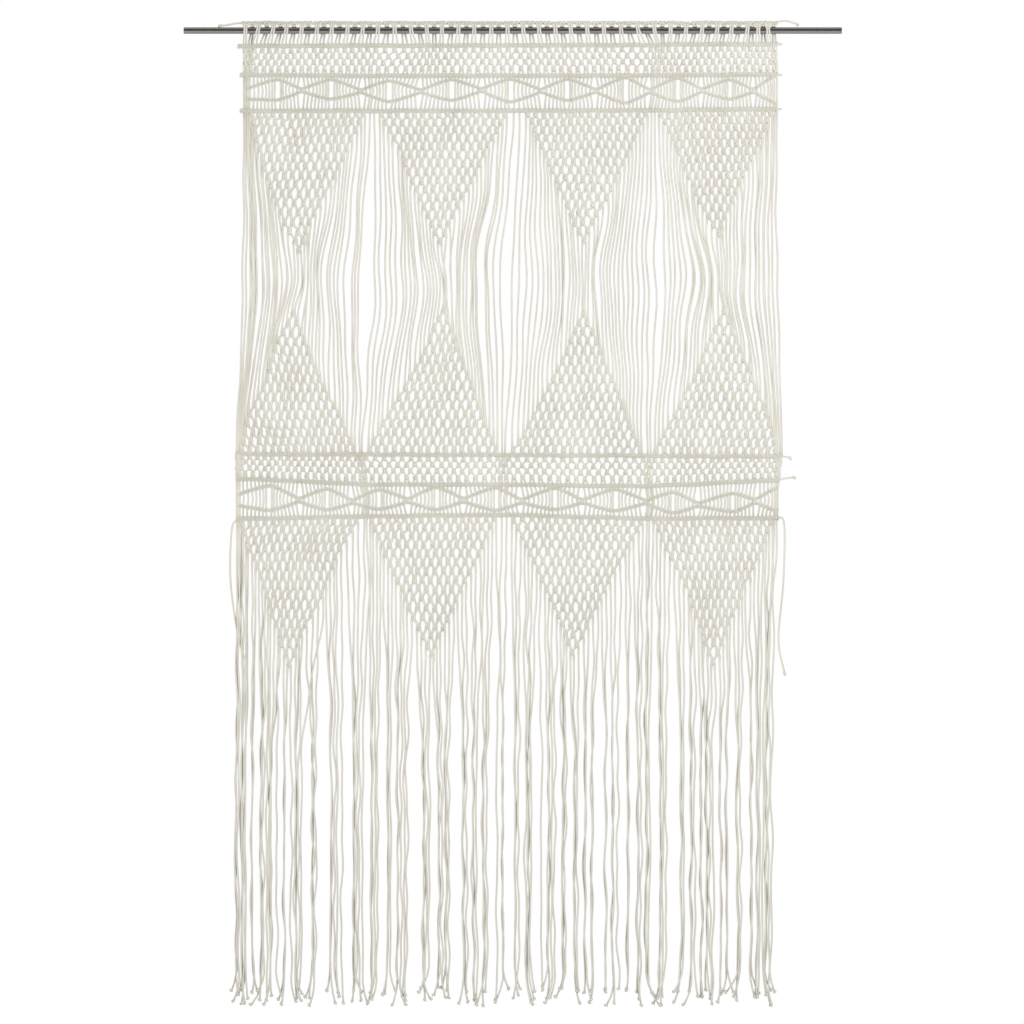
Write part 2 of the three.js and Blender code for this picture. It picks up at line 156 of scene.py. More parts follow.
def tubes(paths, radius, sides, across, closed=False):
    # Tubes of round section, n of them at once. A point is centre + radius (cos a first + sin a second),
    # where first is square to the path and to the direction `across`, and second is square to both.
    # u is the length along the path in millimetres, and v goes from 0 to 1 round it.
    n, steps, _ = paths.shape
    if closed:
        along = np.roll(paths, -1, 1) - np.roll(paths, 1, 1)
    else:
        along = np.gradient(paths, axis=1)
    along /= np.linalg.norm(along, axis=2, keepdims=True)
    first = np.cross(along, across)
    first /= np.linalg.norm(first, axis=2, keepdims=True)
    second = np.cross(along, first)
    angle = np.arange(sides) * fullTurn / sides
    thick = np.broadcast_to(np.asarray(radius, float), (n, steps))[:, :, None, None]
    ring = np.cos(angle)[:, None] * first[:, :, None, :] + np.sin(angle)[:, None] * second[:, :, None, :]
    points = paths[:, :, None, :] + thick * ring
    index = np.arange(n * steps * sides).reshape(n, steps, sides)
    index = np.concatenate([index, index[:, :, :1]], 2)
    pieces = np.linalg.norm(np.diff(paths, axis=1), axis=2)
    length = np.concatenate([np.zeros((n, 1)), np.cumsum(pieces, 1)], 1)
    if closed:
        index = np.concatenate([index, index[:, :1]], 1)
        last = np.linalg.norm(paths[:, 0] - paths[:, -1], axis=1)[:, None]
        length = np.concatenate([length, length[:, -1:] + last], 1)
    quads = np.stack([index[:, :-1, :-1], index[:, :-1, 1:], index[:, 1:, 1:], index[:, 1:, :-1]], -1)
    u = np.broadcast_to(length[:, :, None], index.shape)
    v = np.broadcast_to(np.arange(sides + 1) / sides, index.shape)
    flat = np.stack([u, v], -1)
    quadUv = np.stack([flat[:, :-1, :-1], flat[:, :-1, 1:], flat[:, 1:, 1:], flat[:, 1:, :-1]], -2)
    part = {
        "points": points.reshape(-1, 3),
        "faces": [quads.reshape(-1, 4)],
        "uv": [quadUv.reshape(-1, 2)],
    }
    if not closed:
        starts = index[:, 0, :-1][:, ::-1]
        ends = index[:, -1, :-1]
        caps = np.concatenate([starts, ends])
        part["faces"].append(caps)
        part["uv"].append(np.zeros((caps.size, 2)))
    return part


def makePiece(name, parts, material, stands):
    # Joins the parts into one mesh object that stands for the node `stands`
    points, faces, uvs, shift = [], [], [], 0
    for part in parts:
        points.append(part["points"])
        for block, uv in zip(part["faces"], part["uv"]):
            faces.append(block + shift)
            uvs.append(uv)
        shift += len(part["points"])
    co = np.concatenate(points) * toMetres
    sizes = np.concatenate([np.full(len(block), block.shape[1]) for block in faces])
    corners = np.concatenate([block.reshape(-1) for block in faces])
    starts = np.concatenate([[0], np.cumsum(sizes)[:-1]])
    mesh = bpy.data.meshes.new(name)
    mesh.vertices.add(len(co))
    mesh.vertices.foreach_set("co", co.astype(np.float32).reshape(-1))
    mesh.loops.add(len(corners))
    mesh.loops.foreach_set("vertex_index", corners.astype(np.int32))
    mesh.polygons.add(len(sizes))
    mesh.polygons.foreach_set("loop_start", starts.astype(np.int32))
    mesh.polygons.foreach_set("loop_total", sizes.astype(np.int32))
    layer = mesh.uv_layers.new(name="cordUv")
    layer.data.foreach_set("uv", np.concatenate(uvs).astype(np.float32).reshape(-1))
    mesh.update(calc_edges=True)
    mesh.polygons.foreach_set("use_smooth", np.ones(len(sizes), bool))
    mesh.materials.append(material)
    piece = bpy.data.objects.new(name, mesh)
    bpy.context.scene.collection.objects.link(piece)
    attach(piece, "root")
    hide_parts(stands)
    print(name, int((sizes - 2).sum()), "triangles")


class Flow:
    # Wraps a socket, so that shader maths reads as an expression
    def __init__(self, tree, socket=None):
        self.tree = tree
        self.socket = socket

    def make(self, kind, settings=None, inputs=None, output=0):
        node = self.tree.nodes.new(kind)
        for key, value in (settings or {}).items():
            setattr(node, key, value)
        for key, value in (inputs or {}).items():
            if isinstance(value, Flow):
                self.tree.links.new(value.socket, node.inputs[key])
            else:
                node.inputs[key].default_value = value
        return Flow(self.tree, node.outputs[output] if node.outputs else None)

    def maths(self, operation, *values):
        return self.make("ShaderNodeMath", {"operation": operation}, dict(enumerate(values)))

    def __add__(self, other):
        return self.maths("ADD", self, other)

    def __radd__(self, other):
        return self.maths("ADD", other, self)

    def __sub__(self, other):
        return self.maths("SUBTRACT", self, other)

    def __rsub__(self, other):
        return self.maths("SUBTRACT", other, self)

    def __mul__(self, other):
        return self.maths("MULTIPLY", self, other)

    def __rmul__(self, other):
        return self.maths("MULTIPLY", other, self)

    def __abs__(self):
        return self.maths("ABSOLUTE", self)

    def sine(self):
        return self.maths("SINE", self)

    def part(self, axis):
        return self.make("ShaderNodeSeparateXYZ", {}, {0: self}, axis)

    def ramp(self, start, end):
        # 0 where this value is at `start` and 1 where it is at `end`, straight between and level past them
        return self.make("ShaderNodeMapRange", {}, {"Value": self, "From Min": start, "From Max": end})

    def noise(self, scale, detail):
        return self.make("ShaderNodeTexNoise", {}, {"Vector": self, "Scale": scale, "Detail": detail})

    def mix(self, first, second):
        # Colour `first` where this value is 0 and `second` where it is 1. Inputs 6 and 7 and output 2 of a
        # Mix node are its colours.
        settings = {"data_type": "RGBA", "clamp_factor": True}
        return self.make("ShaderNodeMix", settings, {"Factor": self, 6: first, 7: second}, 2)


objectCoordinates = 3  # outputs of a Texture Coordinate node
direction = 0


def startMaterial(name):
    material = bpy.data.materials.new(name)
    material.use_nodes = True
    tree = material.node_tree
    tree.nodes.clear()
    return material, Flow(tree)


def endMaterial(flow, inputs):
    surface = flow.make("ShaderNodeBsdfPrincipled", {}, inputs)
    flow.make("ShaderNodeOutputMaterial", {}, {"Surface": surface})


cotton = {
    "cream": (0.735, 0.707, 0.628, 1),
    "pale": (0.815, 0.796, 0.718, 1),
    # Painted shade: the dark colour given to the grooves between the plies
    "paintedGrooveShade": (0.27, 0.248, 0.197, 1),
    "paintedShadeOf": {"plies": 0.6, "fibres": 0.3, "less": 0.17},  # how much of the painted shade in the ply grooves shows
    "fibres": (1400.0, 2.0),  # scale and detail
    "patches": (9.0, 3.0),
    "patchEdge": (0.35, 0.65),
    "relief": {"plies": 0.8, "fibres": 0.35, "strength": 0.7, "depth": 0.00035},  # depth in metres
    "roughness": 0.92,
    "sheen": 0.15,
    "specular": 0.25,
}


def cottonMaterial(name):
    material, flow = startMaterial(name)
    uv = flow.make("ShaderNodeUVMap", {"uv_map": "cordUv"})
    # Plies run round the cord as they run along it, so the ridge is a sine of both
    turns = uv.part(1) * cord["plies"] + uv.part(0) * (cord["plies"] / cord["lay"])
    ply = (turns * fullTurn).sine() * 0.5 + 0.5
    place = flow.make("ShaderNodeTexCoord", {}, {}, objectCoordinates)
    fibre = place.noise(*cotton["fibres"])
    patchy = place.noise(*cotton["patches"]).ramp(*cotton["patchEdge"])
    tone = patchy.mix(cotton["cream"], cotton["pale"])
    shade, relief = cotton["paintedShadeOf"], cotton["relief"]
    # Painted shade: the base colour goes towards the dark groove colour in the grooves between the plies and
    # with the fibre noise
    depth = (1 - ply) * shade["plies"] + fibre * shade["fibres"] - shade["less"]
    height = ply * relief["plies"] + fibre * relief["fibres"]
    strength = {"Strength": relief["strength"], "Distance": relief["depth"]}
    endMaterial(flow, {
        "Base Color": depth.mix(tone, cotton["paintedGrooveShade"]),
        "Normal": flow.make("ShaderNodeBump", {}, {**strength, "Height": height}),
        "Roughness": cotton["roughness"],
        "Sheen Weight": cotton["sheen"],
        "Specular IOR Level": cotton["specular"],
    })
    return material


steel = {
    "light": (0.46, 0.43, 0.41, 1),
    "dark": (0.28, 0.26, 0.245, 1),
    "lightOf": {"grain": 0.6, "smears": 0.5, "less": 0.1},  # how much of the light colour shows
    "stretch": (60.0, 900.0, 900.0),
    "grain": (1.0, 4.0),  # scale and detail
    "smears": (12.0, 2.0),
    "roughness": 0.14,
    "roughGrain": 0.16,
    "relief": {"Strength": 0.25, "Distance": 0.0001},  # distance in metres
}


def steelMaterial(name):
    # Brush marks run along the rod: noise that changes slowly along X and fast across
    material, flow = startMaterial(name)
    place = flow.make("ShaderNodeTexCoord", {}, {}, objectCoordinates)
    stretched = flow.make("ShaderNodeMapping", {}, {"Vector": place, "Scale": steel["stretch"]})
    grain = stretched.noise(*steel["grain"])
    smear = place.noise(*steel["smears"])
    shine = steel["lightOf"]
    lit = grain * shine["grain"] + smear * shine["smears"] - shine["less"]
    endMaterial(flow, {
        "Metallic": 1.0,
        "Base Color": lit.mix(steel["dark"], steel["light"]),
        "Roughness": grain * steel["roughGrain"] + steel["roughness"],
        "Normal": flow.make("ShaderNodeBump", {}, {**steel["relief"], "Height": grain}),
    })
    return material


cottonCord = cottonMaterial("cottonCord")
brushedSteel = steelMaterial("brushedSteel")
print("materials made")

towardsX = np.array([1.0, 0.0, 0.0])
towardsY = np.array([0.0, 1.0, 0.0])
towardsZ = np.array([0.0, 0.0, 1.0])

rod = {
    "length": 1600.0,
    "radius": 8.0,
    "chamfer": 0.6,
    "around": 64,
    "pole": 0.05,  # radius of the small face in the middle of each end
    "dish": 0.01,  # depth to which the ends are hollow
}


def rodPart():
    # A profile turned about the X axis: a point is x, radius cos a, radius sin a. The profile goes from the
    # centre of one end over its edge and chamfer to the centre of the other.
    half, r, c = rod["length"] / 2, rod["radius"], rod["chamfer"]
    endX = np.array([half, half - rod["dish"], half, half - c, half - 3 * c])
    endR = np.array([rod["pole"], r - 2 * c, r - c, r, r])
    profileX = np.concatenate([-endX, [0], endX[::-1]])[:, None]
    profileR = np.concatenate([endR, [r], endR[::-1]])[:, None]
    angle = np.arange(rod["around"]) * fullTurn / rod["around"]
    points = stack(profileX, profileR * np.cos(angle), profileR * np.sin(angle))
    index = np.arange(profileX.size * rod["around"]).reshape(profileX.size, rod["around"])
    index = np.concatenate([index, index[:, :1]], 1)
    quads = np.stack([index[:-1, 1:], index[1:, 1:], index[1:, :-1], index[:-1, :-1]], -1).reshape(-1, 4)
    caps = np.stack([index[0, :-1], index[-1, :-1][::-1]])
    return {
        "points": points.reshape(-1, 3),
        "faces": [quads, caps],
        "uv": [np.zeros((quads.size, 2)), np.zeros((caps.size, 2))],
    }


makePiece("rod_surface", [rodPart()], brushedSteel, "rod")


def strandsOnBar(net):
    # x of all strands where they cross a net's bar, from left to right: evenly spread over each net,
    # with the free ones before, between and after
    data = nets[net]
    runs, used = [], 0
    for group, count in enumerate(freeOrder):
        runs.append(data["free"][used:used + count])
        used += count
        if group < netColumns:
            left, right = data["left"][group][0] - netMargin, data["right"][group][0] + netMargin
            runs.append(np.linspace(left, right, netStrands))
    return np.concatenate(runs)


# Pairs of strands on the mounting cord stand closer near its ends. x of a few pairs, counted from the left.
pairPlaces = {
    "pair": [0, 8, 18, 34, 42, 56, 64, 69],
    "x": [-650, -514, -327, -14, 141, 423, 570, 634],
    "uneven": 1.7,
    "parted": 4.4,  # from a pair's middle to each of its strands, where they spread out below the rod
}
pairX = np.interp(np.arange(cord["count"] // 2), pairPlaces["pair"], pairPlaces["x"])
pairX = pairX + Shuffle(299).spread(pairPlaces["uneven"], len(pairX))

# In two stretches the strands were pulled to the right: each a bell curve of x
pulls = [{"x": -262, "width": 62, "by": 13}, {"x": 322, "width": 38, "by": 11}]

# Where each strand crosses a bar. Under the rod it keeps a share of its pair's place and of the pulls.
barX = {"third": strandsOnBar("upper"), "fourth": strandsOnBar("middle"), "sixth": strandsOnBar("lower")}
barX["fifth"] = barX["fourth"] * 0.5 + barX["sixth"] * 0.5
underRod = {"first": {"pairs": 0.45, "pulls": 1.2}, "second": {"pairs": 0.1, "pulls": 0.5}}
pulled = sum(pull["by"] * np.exp(-((barX["third"] - pull["x"]) / pull["width"]) ** 2) for pull in pulls)
fromPairs = (pairX[:, None] + np.array([-1, 1]) * pairPlaces["parted"]).ravel()
for name, share in underRod.items():
    straight = fromPairs * share["pairs"] + barX["third"] * (1 - share["pairs"])
    barX[name] = straight + pulled * share["pulls"]

netShape = {
    "start": 0.6,  # from the bar to the first row of knots, in rows
    "opening": 1.06,  # above 1 the rows stand further apart towards the tip
    "widestPitch": 20.5,
    "uneven": 1.3,
    "driftX": {"seed": 31, "amount": 1.6, "reach": 160},
    "driftZ": {"seed": 32, "amount": 2.4, "reach": 140},
}


def netKnots(net, column, seed):
    # x and z of the knots of one net, as arrays of row and place, and which of the places are used. Row 0
    # is next to the bar, and row r has 16 - r knots, spread evenly over its width but nowhere further apart
    # than the widest pitch. z goes from the bar to the tip as the power `opening` of the row's share.
    data = nets[net]
    row = np.arange(netRows)
    share = ((row + netShape["start"]) / netRows) ** netShape["opening"]
    sides = {}
    for side in ("left", "right"):
        stops = [*data[side][column], data["tipX"][column]]
        sides[side] = np.interp(share, np.linspace(0, 1, len(stops)), stops)
    place = np.arange(netRows)
    last = netRows - 1 - row
    pitch = np.minimum((sides["right"] - sides["left"]) / np.maximum(last, 1), netShape["widestPitch"])
    middle = (sides["right"] + sides["left"]) / 2
    x = middle[:, None] + pitch[:, None] * (place - last[:, None] / 2)
    root = barZ(data["bar"], x)
    z = root + (data["tipZ"][column] - root) * share[:, None]
    chance = Shuffle(seed)
    x = x + chance.spread(netShape["uneven"], x.shape) + drift(x, z, **netShape["driftX"])
    z = z + chance.spread(netShape["uneven"], z.shape) + drift(x, z, **netShape["driftZ"])
    used = place[None, :] < (netRows - row)[:, None]
    return x, z, used


netKnotPlaces = {
    net: [netKnots(net, column, 100 * step + column) for column in range(netColumns)]
    for step, net in enumerate(nets)
}

knot = {
    "halfWidth": 4.3,
    "halfDepth": 3.2,
    "halfHeight": 4.4,
    "turns": 2.0,
    "points": 11,
    "radius": 2.75,
    "uneven": 0.1,
    "tilt": 0.35,
    "moreOneWay": 0.25,  # above 0, more knots turn one way than the other
    "endSize": 0.6,  # of the knot at a strand's tip
    "aboveTip": 3,
}


def knotPart(x, z, seed, size=1.0, y=0.0):
    # Each knot is a coil of two turns that starts and ends at the back: a cosine across, a sine front to
    # back and a straight fall, tilted in the cloth's plane and turned left or right by chance
    chance = Shuffle(seed)
    one = (len(x), 1)
    share = np.linspace(0, 1, knot["points"])
    hand = np.sign(chance.spread(1, one) + knot["moreOneWay"])
    phase = hand * share * knot["turns"] * fullTurn + math.pi / 2
    grow = size * (1 + chance.spread(knot["uneven"], one))
    a = grow * knot["halfWidth"] * np.cos(phase)
    b = grow * knot["halfDepth"] * np.sin(phase)
    c = grow * knot["halfHeight"] * (1 - 2 * share)
    tilt = chance.spread(knot["tilt"], one)
    px = x[:, None] + a * np.cos(tilt) - c * np.sin(tilt)
    pz = z[:, None] + a * np.sin(tilt) + c * np.cos(tilt)
    return tubes(stack(px, y + b, pz), knot["radius"] * math.sqrt(size), cord["sides"], towardsZ)


for net, stands in (("upper", "curtain_panel"), ("middle", "curtain_panel"), ("lower", "fringe")):
    knotX = np.concatenate([x[used] for x, z, used in netKnotPlaces[net]])
    knotZ = np.concatenate([z[used] for x, z, used in netKnotPlaces[net]])
    makePiece(net + "_net_knots", [knotPart(knotX, knotZ, seed=7)], cottonCord, stands)

# Where a strand passes a knot: half the distance of its two strands, and the height from its middle
knotPass = {
    "arrive": {"aside": 2.6, "up": 6.8},
    "inside": {"aside": 1.9, "up": 1.0},
    "leave": {"aside": 4.2, "up": -6.2},
}
bow = {"across": 0.62, "down": 0.5}  # a strand has done that much of its way across when it is half-way down


def walkNet(net, order, strand):
    # Stations of one strand of every net in a row: three at each knot and one between two knots.
    # `order` lists the rows of knots as the strand meets them.
    xs, zs = [], []
    for row in order:
        k = (strand - row) // 2
        side = -1 if (strand - row) % 2 == 0 else 1
        x = np.array([places[0][row, k] for places in netKnotPlaces[net]])
        z = np.array([places[1][row, k] for places in netKnotPlaces[net]])
        stationX = [x + side * station["aside"] for station in knotPass.values()]
        stationZ = [z + station["up"] for station in knotPass.values()]
        if xs:
            xs.append(xs[-1] + (stationX[0] - xs[-1]) * bow["across"])
            zs.append(zs[-1] + (stationZ[0] - zs[-1]) * bow["down"])
        xs += stationX
        zs += stationZ
    return np.array(xs).T, np.array(zs).T


# Between the upper and the middle nets the strands hang in fans, which are widest at one height
slack = {
    "height": -607,
    "axis": [-521, -170, 174, 505],
    "left": [-636, -322, 14, 368],
    "right": [-384, -48, 317, 622],
    "evenness": {"left": [1, 0.72, 0.72, 0.72], "right": [0.72, 0.72, 0.72, 1]},  # below 1 crowds the axis
    "freeMiddle": [-655, -646, -636, -624, -376, -338, -28, -6, 328, 348, 634, 642],
    "turn": (0.2, 0.8),  # limits of the place of a strand's widest point along it
    "points": 22,
    "driftX": {"seed": 41, "amount": 3.2, "reach": 260},
    "driftY": {"seed": 42, "amount": 3.0, "reach": 200},
    "uneven": 2.2,  # front to back
    "wobble": 1.3,
    "wave": 31.0,
    "lean": 8.0,  # a few strands lie against a neighbour
}


def slackStretch(topX, topZ, footX, footZ, middleX, seed):
    # From where a strand leaves the upper net to where it enters the middle one. x is two level-ended
    # curves that meet at its place at the fan's height, plus the drift of the cloth, a sine and a lean,
    # all faded in and out, and y is a drift with a part of its own.
    chance = Shuffle(seed)
    ends = (topX, topZ, footX, footZ, middleX)
    topX, topZ, footX, footZ, middleX = (np.asarray(values, float)[:, None] for values in ends)
    one = topX.shape
    share = np.linspace(0, 1, slack["points"] + 2)[None, 1:-1]
    z = topZ + (footZ - topZ) * share
    turn = np.clip((slack["height"] - topZ) / (footZ - topZ), *slack["turn"])
    before = topX + (middleX - topX) * smooth(share / turn)
    after = middleX + (footX - middleX) * smooth((share - turn) / (1 - turn))
    x = np.where(share < turn, before, after)
    fade = np.sin(math.pi * share) ** 0.5
    x = x + fade * drift(x, z, **slack["driftX"])
    phase = chance.spread(math.pi, one)
    x = x + fade * slack["wobble"] * np.sin(z / slack["wave"] + phase) * chance.spread(1, one)
    x = x + np.sin(math.pi * share) * slack["lean"] * chance.spread(1, one) ** 3
    y = fade * (drift(x, z, **slack["driftY"]) + chance.spread(slack["uneven"], one))
    return x, y, z


def panelStrands():
    # From the third bar through the upper net, the fan and the middle net to the fourth bar. Each pass of
    # the loop makes the same strand of all four nets, and the free strands come last. At the fan's height a
    # strand's place goes from the axis to the edge by a mix of its share of the way out and of that cubed.
    parts = []
    for depth in range(netRows):
        for strand, side in ((depth, "left"), (netStrands - 1 - depth, "right")):
            rows = list(range(depth + 1))
            upX, upZ = walkNet("upper", rows, strand)
            downX, downZ = walkNet("middle", rows[::-1], strand)
            topX, footX = barX["third"][columnStart + strand], barX["fourth"][columnStart + strand]
            topZ, footZ = barZ("third", topX), barZ("fourth", footX)
            axis, edge = np.array(slack["axis"], float), np.array(slack[side], float)
            even = np.array(slack["evenness"][side])
            out = (netRows - depth - 0.5) / (netRows - 0.5)
            middle = axis + (edge - axis) * (even * out + (1 - even) * out ** 3)
            x, y, z = slackStretch(upX[:, -1], upZ[:, -1], downX[:, 0], downZ[:, 0], middle, 500 + strand)
            px = np.concatenate([topX[:, None], upX, x, downX, footX[:, None]], 1)
            pz = np.concatenate([topZ[:, None], upZ, z, downZ, footZ[:, None]], 1)
            hung = slice(1 + upX.shape[1], -1 - downX.shape[1])
            py = np.zeros(px.shape)
            py[:, hung] = y
            thick = np.full(px.shape, cord["netRadius"])
            thick[:, hung] = cord["radius"]
            parts.append(tubes(stack(px, py, pz), thick, cord["sides"], towardsY))
    topX, footX = barX["third"][freeStrands], barX["fourth"][freeStrands]
    topZ, footZ = barZ("third", topX), barZ("fourth", footX)
    x, y, z = slackStretch(topX, topZ, footX, footZ, slack["freeMiddle"], seed=540)
    px = np.concatenate([topX[:, None], x, footX[:, None]], 1)
    py = np.pad(y, ((0, 0), (1, 1)))
    pz = np.concatenate([topZ[:, None], z, footZ[:, None]], 1)
    parts.append(tubes(stack(px, py, pz), cord["radius"], cord["sides"], towardsY))
    return parts


makePiece("panel_strands", panelStrands(), cottonCord, "curtain_panel")

# Below the lower nets the strands hang in locks of a few, whose places at the hem are given
fringe = {
    "locks": [
        -662, -649, -634, -602, -588, -574, -556, -539, -522, -484, -434, -416, -376, -335, -301,
        -269, -211, -177, -160, -116, -92, -67, -38, -24, 10, 30, 40, 69, 93, 125,
        154, 176, 193, 227, 244, 256, 280, 307, 327, 365, 412, 438, 458, 480, 506,
        521, 550, 579, 600, 622,
    ],
    "astray": 0.1,  # share of the strands that hang in a neighbouring lock
    "spacing": 7.0,  # between strands that lie side by side in a lock
    "abreast": 0.74,  # share of a lock's strands that do, the others hang behind them
    "uneven": 1.2,
    "gatherTop": 40,  # below a strand's root the strands start to draw together
    "gatherFoot": -1780,
    "gatherPower": 0.8,
    "low": -2374,
    "high": -2328,
    "points": 44,
    "fadeIn": 120,  # below a strand's root it is free to sway
    "driftX": {"seed": 51, "amount": 1.6, "reach": 350},
    "driftY": {"seed": 52, "amount": 3.0, "reach": 300},
    "wobble": 2.1,
    "waves": [21.0, 38.0, 70.0],
    "before": -1.2,  # y of the strands of a lock that hang side by side
    "behind": 3.6,
    "layerUneven": 0.8,
}
# Tips turn aside, neighbours partly together: two slow sines of x
flick = {
    "amount": 15,
    "length": 62,
    "power": 1.7,
    "together": 0.5,
    "waves": [23.0, 9.1],
    "shift": 2,
    "depth": 3,  # front to back
}


def hangStrands(rootX, rootZ, seed):
    # z goes straight from a strand's root to its tip. x goes from the root to a slot in the nearest lock,
    # plus the drift of the cloth, three sines and the turn of the tip, and y is a layer plus a drift.
    chance = Shuffle(seed)
    locks = np.array(fringe["locks"], float)
    half = fringe["astray"] / 2
    place = np.abs(rootX[:, None] - locks).argmin(1)
    place = place + chance.source.choice([-1, 0, 1], len(place), p=[half, 1 - 2 * half, half])
    place = np.clip(place, 0, len(locks) - 1)
    order = np.argsort(rootX)
    slot, hidden = np.zeros(len(rootX)), np.zeros(len(rootX), bool)
    for lock in range(len(locks)):
        members = order[place[order] == lock]
        slots = max(1, round(len(members) * fringe["abreast"]))
        spot = np.arange(len(members)) * slots // max(1, len(members))
        slot[members] = spot - (slots - 1) / 2
        hidden[members] = np.diff(spot, prepend=-1) == 0
    slot, hidden, rootX, top = (values[:, None] for values in (slot, hidden, rootX, rootZ))
    one = rootX.shape
    foot = chance.source.uniform(fringe["low"], fringe["high"], one)
    z = top + (foot - top) * np.linspace(0, 1, fringe["points"] + 1)[1:]
    gatherTop = top - fringe["gatherTop"]
    gather = smooth((gatherTop - z) / (gatherTop - fringe["gatherFoot"]))
    hemX = locks[place][:, None] + slot * fringe["spacing"] + chance.spread(fringe["uneven"], one)
    x = rootX + (hemX - rootX) * gather ** fringe["gatherPower"]
    fade = np.clip((top - z) / fringe["fadeIn"], 0, 1)
    x = x + fade * drift(x, z, **fringe["driftX"])
    for wave in fringe["waves"]:
        phase = chance.spread(math.pi, one)
        x = x + fade * fringe["wobble"] * np.sin(z / wave + phase) * chance.spread(1, one)
    tip = np.clip((foot + flick["length"] - z) / flick["length"], 0, 1)
    together = np.sin(rootX / flick["waves"][0]) + np.sin(rootX / flick["waves"][1] + flick["shift"])
    aside = together * flick["together"] + chance.spread(1, one)
    x = x + aside * flick["amount"] * tip ** flick["power"]
    layer = np.where(hidden, fringe["behind"], fringe["before"]) + chance.spread(fringe["layerUneven"], one)
    y = fade * (layer + drift(x, z, **fringe["driftY"])) + tip ** 2 * chance.spread(flick["depth"], one)
    return x, y, z


def fringeParts():
    # The stretch of every strand through the lower nets comes first, then all hang down together
    tops = []
    for depth in range(netRows):
        for strand in (depth, netStrands - 1 - depth):
            rootX = barX["sixth"][columnStart + strand]
            downX, downZ = walkNet("lower", range(depth + 1), strand)
            xs = np.concatenate([rootX[:, None], downX], 1)
            zs = np.concatenate([barZ("sixth", rootX)[:, None], downZ], 1)
            tops.append((xs, zs, cord["netRadius"]))
    freeX = barX["sixth"][freeStrands][:, None]
    tops.append((freeX, barZ("sixth", freeX), cord["radius"]))
    rootX, rootZ = (np.concatenate([top[axis][:, -1] for top in tops]) for axis in (0, 1))
    hang = np.stack(hangStrands(rootX, rootZ, seed=600), -1)
    parts, first = [], 0
    for xs, zs, topRadius in tops:
        below = hang[first:first + len(xs)]
        first += len(xs)
        path = np.concatenate([stack(xs, 0.0, zs), below], 1)
        thick = np.full(path.shape[:2], cord["radius"])
        thick[:, :xs.shape[1]] = topRadius
        parts.append(tubes(path, thick, cord["sides"], towardsY))
    return parts, hang[:, -1]


fringeTubes, tips = fringeParts()
tipX, tipY, tipZ = tips[:, 0], tips[:, 1:2], tips[:, 2] + knot["aboveTip"]
tipKnots = knotPart(tipX, tipZ, seed=9, size=knot["endSize"], y=tipY)
makePiece("fringe_strands", fringeTubes, cottonCord, "fringe")
makePiece("stopper_knots", [tipKnots], cottonCord, "fringe")

band = {
    "shares": [0.15, 0.36, 0.57, 0.79],  # of the way from bar to bar, where the four rows of knots are
    "size": 0.9,
    "radius": 2.7,
    "inside": 1.7,  # half the distance of a knot's two strands in it
    "up": 5.6,
    "down": 4.4,
    "uneven": 0.9,
    "driftX": {"seed": 33, "amount": 1.2, "reach": 150},
    "driftZ": {"seed": 34, "amount": 1.2, "reach": 150},
}


def closeNet(over, under, seed):
    # Between two bars knots tie neighbours in turn, each row half a pitch from the last. A strand's x is the
    # middle of its knot's two strands, a little to its own side, and its z a straight share of its way.
    topX, footX = barX[over], barX[under]
    topZ, footZ = barZ(over, topX), barZ(under, footX)
    chance = Shuffle(seed)
    count, size = cord["count"], band["size"]
    strand = np.arange(count)
    columnsX, columnsZ, knotX, knotZ = [topX], [topZ], [], []
    for row, share in enumerate(band["shares"]):
        x = topX + (footX - topX) * share
        z = topZ + (footZ - topZ) * share
        partner = np.where((strand - row) % 2 == 0, strand + 1, strand - 1)
        tied = (partner >= 0) & (partner < count)
        partner = np.clip(partner, 0, count - 1)
        side = np.where(partner > strand, -1, 1)
        centreX = np.where(tied, (x + x[partner]) / 2, x)
        wander = chance.spread(band["uneven"], (2, count))
        leader = np.minimum(strand, partner)
        centreX = centreX + np.where(tied, wander[0][leader] + drift(centreX, z, **band["driftX"]), 0)
        centreZ = z + wander[1][leader] + drift(centreX, z, **band["driftZ"])
        for aside in (band["inside"], knotPass["leave"]["aside"] * size):
            columnsX.append(np.where(tied, centreX + side * aside, x))
        columnsZ += [centreZ + band["up"] * size, centreZ - band["down"] * size]
        chosen = tied & (side < 0)
        knotX.append(centreX[chosen])
        knotZ.append(centreZ[chosen])
    columnsX.append(footX)
    columnsZ.append(footZ)
    path = stack(np.array(columnsX).T, 0.0, np.array(columnsZ).T)
    strands = tubes(path, band["radius"], cord["sides"], towardsY)
    return [strands, knotPart(np.concatenate(knotX), np.concatenate(knotZ), seed + 1, size)]


makePiece("top_band", closeNet("first", "second", seed=71), cottonCord, "curtain_panel")
makePiece("lower_band", closeNet("fourth", "fifth", seed=75), cottonCord, "curtain_panel")

hitch = {"points": 8, "lean": 0.22, "uneven": 0.06}


def hitches(x, z, size, seed):
    # Loops of a hitch round a filler cord, side by side: each an upright oval of a sine up and a cosine
    # front to back, which leans along the filler by a share of its height
    chance = Shuffle(seed)
    angle = np.arange(hitch["points"]) * fullTurn / hitch["points"]
    alongX, alongZ = np.gradient(x), np.gradient(z)
    long = np.hypot(alongX, alongZ)
    ax, az = (alongX / long)[:, None], (alongZ / long)[:, None]
    grow = 1 + chance.spread(hitch["uneven"], (len(x), 1))
    up = size["halfHeight"] * grow * np.sin(angle)
    lean = hitch["lean"] * up
    px = x[:, None] - az * up + ax * lean
    pz = z[:, None] + ax * up + az * lean
    py = size["halfDepth"] * grow * np.cos(angle)
    across = np.broadcast_to(stack(ax, 0.0, az), (len(x), hitch["points"], 3))
    return tubes(stack(px, py, pz), size["radius"], cord["sides"], across, closed=True)


# The first hitch is 3 mm from the bar's left tip
barHitch = {"halfHeight": 4.3, "halfDepth": 3.8, "radius": 2.1, "count": 280, "first": 3}
barCore = {"radius": 2.5, "points": 60}
barDrift = {"amount": 0.7, "reach": 120}


